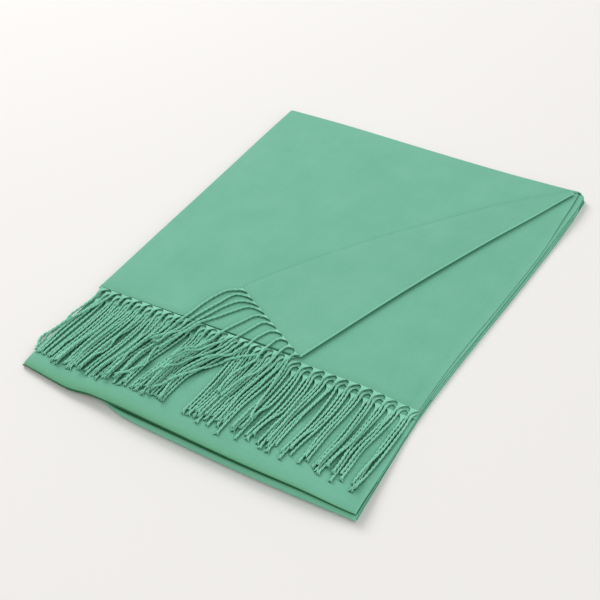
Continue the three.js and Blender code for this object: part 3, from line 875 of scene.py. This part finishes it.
# Fringe: each tassel is two strands twisted together, gathered from the cloth's end
cord = {
    "strand": 0.8,
    "apart": 0.6,
    "upright": 0.92,
    "radius": 1.4,
    "touch": 1.25,
    "twist": 11.0,
    "ringsPerTwist": 8,
    "length": 106,
    "arch": 9.5,
    "cornerArch": 4.5,
    "twistFrom": 0.62,
    "bendRadius": 9,
    "levelFor": 2,
    "drop": 1.5,
    "smoothOver": 5,
    "finePoints": 24,
    "fewestRings": 8,
}
cordEnd = {"over": 4, "apart": 0.5, "thinner": 0.25}
tuft = {
    "count": 8,
    "long": 5.5,
    "shortest": 0.6,
    "longest": 1.1,
    "lean": 0.5,
    "wide": 0.8,
    "high": 0.5,
    "sag": 0.5,
    "radii": [0.5, 0.55, 0.55, 0.45, 0.25],
}
fringeRow = {"count": 28, "at": 118, "leftTurn": 2, "rightGap": 0.5, "shift": 0.5}
rowStart = leftEdge(fringeRow["at"]) + fringeRow["leftTurn"]
rowEnd = rightEdge(fringeRow["at"]) - fringeRow["rightGap"]
tasselPitch = (rowEnd - rowStart) / (fringeRow["count"] + fringeRow["shift"])

plyRows = [
    {"ply": "fourth", "count": 28, "shift": 0, "lane": 1.5, "seed": 4},
    {"ply": "third", "count": 28, "shift": 0.5, "lane": 1.5, "seed": 33},
    {"ply": "second", "count": 28, "shift": 0.5, "lane": -1.5, "seed": 21},
    {"ply": "top", "count": 18, "shift": 0, "lane": -1.5, "seed": 12},
]
for ply in plyRows:
    ply["name"] = "fringe" + ply["ply"].capitalize()
    ply["node"] = "fringe_" + ply["ply"] + "_ply"
    ply["z"] = plyHeights[ply["ply"]]
    ply["end"] = plyEnds[ply["ply"]]

# Where the tassels' ends gather along the front, and how the bunch sways on its way
bunches = [
    {"x": -168, "y": 11, "sway": -2},
    {"x": -158, "y": 8, "sway": 1},
    {"x": -144, "y": 6, "sway": 2},
    {"x": -130, "y": 7, "sway": -1},
    {"x": -114, "y": 7, "sway": 2},
    {"x": -99, "y": 6, "sway": 3},
    {"x": -84, "y": 8, "sway": -3},
    {"x": -70, "y": 9, "sway": -2},
    {"x": -57, "y": 9, "sway": 1},
    {"x": -46, "y": 11, "sway": -2},
    {"x": -35, "y": 13, "sway": -4},
    {"x": 5, "y": 8, "sway": 2},
    {"x": 18, "y": 6, "sway": 0},
    {"x": 31, "y": 5, "sway": -3},
    {"x": 45, "y": 6, "sway": 2},
    {"x": 61, "y": 10, "sway": 3},
    {"x": 79, "y": 10, "sway": -2},
    {"x": 96, "y": 11, "sway": 2},
    {"x": 112, "y": 15, "sway": -1},
    {"x": 127, "y": 14, "sway": 2},
    {"x": 143, "y": 14, "sway": -2},
    {"x": 159, "y": 14, "sway": 1},
]
inBunch = {"pitch": 2.5, "stagger": 5, "wander": 0.7, "strays": 0.16, "strayReach": 6}
straightForm = {
    "shortest": 0.98,
    "longest": 1.01,
    "aslant": 0.12,
    "early": -0.2,
    "late": 0.8,
    "firstAcross": 0.03,
    "firstDown": 10,
}
# How far a straight tassel has come across, down and into its lane and sway at each of its bends
straightBends = [
    {"across": 0.25, "down": 0.32, "lane": 1, "sway": 0.6},
    {"across": 0.68, "down": 0.6, "lane": 0, "sway": 1},
    {"across": 0.95, "down": 0.84, "lane": 0, "sway": 0.3},
]
# The turned corner's tassels, each from just past its root to its end
cornerRow = {"seed": 7, "first": 0.02, "pitch": 0.105}
cornerRoutes = [
    [(-65, 170), (-71, 157), (-75, 140), (-77, 124), (-80, 111), (-82, 91), (-82, 72)],
    [(-56, 168), (-63, 148), (-68, 132), (-72, 117), (-75, 102), (-80, 84), (-85, 74)],
    [(-46, 163), (-55, 149), (-61, 132), (-66, 117), (-70, 104), (-76, 89), (-79, 73)],
    [(-35, 160), (-44, 147), (-52, 133), (-61, 118), (-66, 102), (-70, 86), (-73, 69)],
    [(-22, 153), (-28, 140), (-34, 125), (-38, 112), (-43, 92), (-48, 74), (-49, 57)],
    [(-11, 148), (-16, 134), (-20, 121), (-27, 105), (-34, 85), (-41, 64), (-46, 40)],
    [(1, 141), (-4, 128), (-7, 114), (-16, 96), (-28, 77), (-34, 57), (-39, 36)],
    [(13, 135), (11, 122), (9, 106), (5, 86), (5, 66), (9, 46)],
    [(25, 129), (23, 114), (20, 96), (15, 72), (13, 44)],
    [(36, 122), (37, 106), (41, 80), (45, 54), (51, 34)],
]
# Top tassels that stray: out over the left edge, and across the others by the turned corner
strayRoutes = {
    0: [(-171, 111), (-174, 98), (-177, 72), (-182, 50), (-186, 36), (-184, 27), (-178, 19)],
    1: [(-158, 112), (-161, 100), (-168, 72), (-176, 46), (-180, 30), (-178, 20), (-174, 13)],
    9: [(-62, 118), (-66, 105), (-77, 78), (-72, 56), (-68, 40), (-74, 25), (-80, 14)],
    12: [(-26, 120), (-30, 110), (-37, 94), (-45, 76), (-50, 56), (-53, 40), (-56, 22)],
    13: [(-14, 121), (-17, 108), (-24, 84), (-32, 56), (-34, 38), (-31, 24), (-28, 12)],
    15: [(10, 122), (6, 110), (-13, 91), (-24, 68), (-31, 46), (-37, 30), (-42, 18)],
}

# Height of everything laid so far, on a fine grid in plan
relief = {"x0": -200.0, "y0": -20.0, "cell": 0.5, "columns": 780, "lines": 420, "block": 4, "margin": 4}
laidHeight = np.zeros((relief["lines"], relief["columns"]))


def fillRelief():
    for i in range(relief["lines"]):
        y = relief["y0"] + i * relief["cell"]
        for j in range(0, relief["columns"], relief["block"]):
            x = relief["x0"] + j * relief["cell"]
            if x < leftEdge(y) or x > rightEdge(y):
                continue
            wrapped = frontValue(x, "wrap") > 0.5
            tall = (bedTop(x, stack["crest"]) if wrapped else frontValue(x, "upper")) / 2
            crestY = max(y, frontValue(x, "front") + stack["crest"])
            z = bedTop(x, crestY) - edgeDrop(x, y) - noseSink(x, y, tall)
            for ply in plyRows:
                if y > rootLine(x) - ply["end"]:
                    z = ply["z"] + stack["cloth"] / 2
            laidHeight[i, j : j + relief["block"]] = z


def footprint(reach):
    span = int(reach / relief["cell"]) + 1
    spots = []
    for di in range(-span, span + 1):
        for dj in range(-span, span + 1):
            away = math.hypot(di, dj) * relief["cell"]
            if away <= reach:
                spots.append((di, dj, cord["radius"] * math.sqrt(1 - (away / reach) ** 2)))
    return spots


cordPrint = footprint(cord["touch"])


def cellsOf(points):
    lines = np.round((points[:, 1] - relief["y0"]) / relief["cell"]).astype(int)
    columns = np.round((points[:, 0] - relief["x0"]) / relief["cell"]).astype(int)
    edge = relief["margin"]
    lines = np.clip(lines, edge, relief["lines"] - 1 - edge)
    return lines, np.clip(columns, edge, relief["columns"] - 1 - edge)


def smoothLine(points, spacing):
    pts = [np.array(point, float) for point in points]
    pts = [2 * pts[0] - pts[1]] + pts + [2 * pts[-1] - pts[-2]]
    fine = []
    for k in range(1, len(pts) - 2):
        a, b, c, d = pts[k - 1 : k + 3]
        for t in np.linspace(0, 1, cord["finePoints"], endpoint=False):
            curved = (2 * a - 5 * b + 4 * c - d) * t * t + (3 * b - a - 3 * c + d) * t**3
            fine.append(0.5 * (2 * b + (c - a) * t + curved))
    fine.append(pts[-2])
    fine = np.array(fine)
    run = np.concatenate([[0], np.cumsum(np.linalg.norm(np.diff(fine, axis=0), axis=1))])
    count = max(cord["fewestRings"], int(run[-1] / spacing))
    at = np.linspace(0, run[-1], count)
    return np.stack([np.interp(at, run, fine[:, k]) for k in range(2)], axis=1), at


# Lays a cord over what is there: it rests on the highest spot under it and bridges with its stiffness
def layCord(route, rootZ, arch):
    flat, run = smoothLine(route, cord["twist"] / cord["ringsPerTwist"])
    lines, columns = cellsOf(flat)
    rest = np.full(len(flat), -np.inf)
    for di, dj, rise in cordPrint:
        rest = np.maximum(rest, laidHeight[lines + di, columns + dj] + rise)
    spread = (run[:, None] - run[None, :]) ** 2 / (2 * cord["bendRadius"])
    z = np.max(rest[None, :] - spread, axis=1)
    leaving = rootZ - np.maximum(0, run - cord["levelFor"]) ** 2 / (2 * cord["bendRadius"])
    z = np.maximum(z, leaving)
    start = np.clip(run / arch, 0, 1)
    if z[0] > rootZ + cord["drop"]:
        z = z * start + rootZ * (1 - start)
    else:
        z = np.where(start < 1, np.maximum(rootZ, z), z)
    around = cord["smoothOver"]
    z = np.convolve(np.pad(z, around // 2, mode="edge"), np.ones(around) / around, mode="valid")
    for di, dj, rise in cordPrint:
        np.maximum.at(laidHeight, (lines + di, columns + dj), z + rise)
    return np.column_stack([flat, z]), run


def sideVectors(path):
    ahead = np.gradient(path, axis=0)
    ahead /= np.linalg.norm(ahead, axis=1)[:, None]
    side = np.cross(ahead, np.array([0, 0, 1.0]))
    side /= np.linalg.norm(side, axis=1)[:, None]
    return side, np.cross(side, ahead)


def addSpline(curve, path, radii):
    spline = curve.splines.new("POLY")
    spline.points.add(len(path) - 1)
    spots = np.ones((len(path), 4))
    spots[:, :3] = (path + np.array(origin)) * mm
    spline.points.foreach_set("co", spots.ravel())
    spline.points.foreach_set("radius", radii)


def twistCord(curve, path, run, arch, luck):
    side, up = sideVectors(path)
    begin = luck.uniform(0, 2 * math.pi)
    first = int(cord["twistFrom"] * arch / run[-1] * len(run))
    ending = np.clip((run - run[-1] + cordEnd["over"]) / cordEnd["over"], 0, 1)
    off = cord["strand"] * (cord["apart"] + cordEnd["apart"] * ending)
    radii = 1 - cordEnd["thinner"] * ending
    for strand in (0, math.pi):
        turn = 2 * math.pi * run / cord["twist"] + begin + strand
        sideways = side * (np.cos(turn) * off)[:, None]
        upward = up * (np.sin(turn) * off * cord["upright"])[:, None]
        addSpline(curve, (path + sideways + upward)[first:], radii[first:])
    frayEnd(curve, path, side[-1], up[-1], luck)


def frayEnd(curve, path, side, up, luck):
    root = path[-4]
    ahead = path[-1] - root
    ahead /= np.linalg.norm(ahead)
    for _ in range(tuft["count"]):
        lean = luck.uniform(-tuft["lean"], tuft["lean"])
        long = tuft["long"] * luck.uniform(tuft["shortest"], tuft["longest"])
        start = root + side * luck.uniform(-tuft["wide"], tuft["wide"])
        start = start + up * luck.uniform(-tuft["high"], tuft["high"])
        line = []
        for t in steps(len(tuft["radii"]) - 1):
            line.append(start + ahead * long * t + side * lean * long * t * t - up * tuft["sag"] * t * t)
        addSpline(curve, np.array(line), np.array(tuft["radii"]))


# The cloth's last threads gather into the cord, and leave an arch between two cords
gatherForm = {
    "rows": 9,
    "columns": 10,
    "narrow": 0.85,
    "hump": 0.55,
    "humpPace": 1.2,
    "thread": 0.16,
    "threads": 5,
    "threadPace": 2,
    "raised": 0.48,
    "thick": 0.75,
}


def addGather(gather, path, run, arch, halfPitch, slant):
    rows, columns = gatherForm["rows"], gatherForm["columns"]
    narrow = cord["radius"] * gatherForm["narrow"]
    side, _ = sideVectors(path)
    base = len(gather["points"])
    for i in range(rows + 1):
        t = i / rows
        at = t * arch
        centre = np.array([np.interp(at, run, path[:, k]) for k in range(3)])
        across = np.array([np.interp(at, run, side[:, k]) for k in range(3)])
        across = across * t + slant * (1 - t)
        across /= np.linalg.norm(across)
        wide = narrow + (halfPitch - narrow) * (1 - math.sqrt(1 - (1 - t) ** 2))
        for j in range(columns + 1):
            c = 2 * j / columns - 1
            high = cord["radius"] * gatherForm["hump"] * ease(t * gatherForm["humpPace"])
            hump = high * math.sqrt(max(0, 1 - c * c))
            threads = gatherForm["thread"] * math.cos(c * math.pi * gatherForm["threads"])
            thread = threads * ease(t * gatherForm["threadPace"]) * (1 - t)
            point = centre + across * (c * wide)
            point[2] += hump + thread + gatherForm["raised"] * (1 - t)
            gather["points"].append(tuple((point + np.array(origin)) * mm))
            gather["uv"].append((c * wide * mm, at * mm))
    for i in range(rows):
        for j in range(columns):
            a = base + i * (columns + 1) + j
            gather["faces"].append((a, a + 1, a + columns + 2, a + columns + 1))


def finishFringe(ply, curve, gather):
    curve.dimensions = "3D"
    curve.bevel_depth = cord["strand"] * mm
    curve.bevel_resolution = 1
    curve.use_fill_caps = True
    cords = bpy.data.objects.new(ply["name"], curve)
    bpy.context.scene.collection.objects.link(cords)
    pick(cords)
    bpy.ops.object.convert(target="MESH")
    cords = bpy.context.object
    cords.data.materials.append(cordGreen)
    if not cords.data.uv_layers:
        cords.data.uv_layers.new(name="UVMap")
    mesh = bpy.data.meshes.new("gather")
    mesh.from_pydata(gather["points"], [], gather["faces"])
    layer = mesh.uv_layers.new(name=cords.data.uv_layers[0].name)
    for loop in mesh.loops:
        layer.data[loop.index].uv = gather["uv"][loop.vertex_index]
    webs = bpy.data.objects.new("gather", mesh)
    bpy.context.scene.collection.objects.link(webs)
    mesh.materials.append(cordGreen)
    pick(webs)
    solid = webs.modifiers.new("thickness", "SOLIDIFY")
    solid.thickness = gatherForm["thick"] * mm
    solid.offset = -1
    bpy.ops.object.modifier_apply(modifier=solid.name)
    webs.select_set(True)
    cords.select_set(True)
    bpy.context.view_layer.objects.active = cords
    bpy.ops.object.join()
    pressEdge(cords)
    bpy.ops.object.shade_smooth()
    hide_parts(ply["node"])
    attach(cords, "root")
    return cords


def rootX(ply, k):
    return rowStart + (k + 0.5 + ply["shift"]) * tasselPitch


# All tassels in the order of their roots, parted into the bunches and laid side by side in them
def shareOut():
    places = []
    for ply in plyRows:
        places += [(rootX(ply, k) + ply["lane"], ply["name"], k) for k in range(ply["count"])]
    lots = [[] for _ in bunches]
    for place in sorted(places):
        nearest = min(range(len(bunches)), key=lambda i: abs(bunches[i]["x"] - place[0]))
        lots[nearest].append(place)
    spots = {}
    for bunch, lot in zip(bunches, lots):
        for turn, (_, name, k) in enumerate(lot):
            spots[name, k] = (bunch, turn - (len(lot) - 1) / 2)
    return spots


bunchSpots = shareOut()


def straightRoute(ply, k, luck):
    x = rootX(ply, k)
    y = rootLine(x) - ply["end"]
    bunch, turn = bunchSpots[ply["name"], k]
    target = bunch["x"] + turn * inBunch["pitch"] + luck.uniform(-1, 1) * inBunch["wander"]
    sway = bunch["sway"] + luck.uniform(-1, 1) * inBunch["wander"]
    if luck.random() < inBunch["strays"]:
        target += luck.uniform(-1, 1) * inBunch["strayReach"]
        sway += luck.uniform(-1, 1) * inBunch["strayReach"] / 2
    long = cord["length"] * luck.uniform(straightForm["shortest"], straightForm["longest"])
    long -= abs(target - x) * straightForm["aslant"]
    late = luck.uniform(straightForm["early"], straightForm["late"])
    endY = max(bunch["y"], y - long) + late * inBunch["stagger"]
    firstX = mix(x + ply["lane"], target, straightForm["firstAcross"])
    route = [(x, y), (firstX, y - straightForm["firstDown"])]
    for bend in straightBends:
        bendX = mix(x + bend["lane"] * ply["lane"], target, bend["across"])
        route.append((bendX + bend["sway"] * sway, mix(y, endY, bend["down"])))
    return route + [(target, endY)]


fillRelief()
rowSlant = np.array([-1, -stack["rootSlope"], 0.0])
for ply in plyRows:
    luck = random.Random(ply["seed"])
    curve = bpy.data.curves.new(ply["name"], "CURVE")
    gather = {"points": [], "faces": [], "uv": []}
    for k in range(ply["count"]):
        route = straightRoute(ply, k, luck)
        if ply["name"] == "fringeTop" and k in strayRoutes:
            route = strayRoutes[k]
        path, run = layCord(route, ply["z"], cord["arch"])
        twistCord(curve, path, run, cord["arch"], luck)
        addGather(gather, path, run, cord["arch"], tasselPitch / 2, rowSlant)
    finishFringe(ply, curve, gather)
print("straight tassels laid")

luck = random.Random(cornerRow["seed"])
cornerPly = {"name": "fringeCorner", "node": "fringe_turned_corner", "z": plyHeights["top"] + plyPitch}
cornerCurve = bpy.data.curves.new(cornerPly["name"], "CURVE")
gather = {"points": [], "faces": [], "uv": []}
rowRun = foldPoint(0) - cornerPoint
rowWay = np.array([-rowRun.x, -rowRun.y, 0]) / rowRun.length
for k, route in enumerate(cornerRoutes):
    root = cornerPoint.lerp(foldPoint(0), cornerRow["first"] + cornerRow["pitch"] * k)
    path, run = layCord([(root.x, root.y)] + route, cornerPly["z"], cord["cornerArch"])
    twistCord(cornerCurve, path, run, cord["cornerArch"], luck)
    addGather(gather, path, run, cord["cornerArch"], rowRun.length / len(cornerRoutes) / 2, rowWay)
cornerFringe = finishFringe(cornerPly, cornerCurve, gather)
print("corner tassels laid")

# Floor, light and camera
studio = {
    "floorSize": 8,
    "floorColour": (0.84, 0.825, 0.81, 1),
    "floorRoughness": 0.9,
    "air": (1, 0.985, 0.97, 1),
    "airStrength": 0.48,
}
deselect()
bpy.ops.mesh.primitive_plane_add(size=studio["floorSize"], location=(0, 0, 0))
floor = bpy.context.object
floor.name = "floor"
paper = bpy.data.materials.new("palePaper")
paper.use_nodes = True
paperShader = paper.node_tree.nodes["Principled BSDF"]
fill(paperShader, Base_Color=studio["floorColour"], Roughness=studio["floorRoughness"])
floor.data.materials.append(paper)

lights = [
    {"name": "key", "at": (-2.85, 1.65, 2.7), "size": 2.4, "power": 120},
    {"name": "fill", "at": (3.0, -2.8, 3.2), "size": 4.2, "power": 104},
]
for one in lights:
    data = bpy.data.lights.new(one["name"], "AREA")
    data.size = one["size"]
    data.energy = one["power"]
    lamp = bpy.data.objects.new(one["name"], data)
    lamp.location = one["at"]
    lamp.rotation_euler = (-Vector(one["at"])).to_track_quat("-Z", "Y").to_euler()
    bpy.context.scene.collection.objects.link(lamp)
world = bpy.data.worlds.new("studio")
world.use_nodes = True
fill(world.node_tree.nodes["Background"], Color=studio["air"], Strength=studio["airStrength"])
bpy.context.scene.world = world
bpy.context.scene.view_settings.view_transform = "Standard"

view = {"at": (439.4, -521.0, 742.2), "forward": (-0.3934, 0.6441, -0.6561), "lens": 69.0, "sensor": 36}
cameraData = bpy.data.cameras.new("camera")
cameraData.lens = view["lens"]
cameraData.sensor_width = view["sensor"]
camera = bpy.data.objects.new("camera", cameraData)
camera.location = toFrame(view["at"])
camera.rotation_euler = Vector(view["forward"]).to_track_quat("-Z", "Y").to_euler()
bpy.context.scene.collection.objects.link(camera)
bpy.context.scene.camera = camera
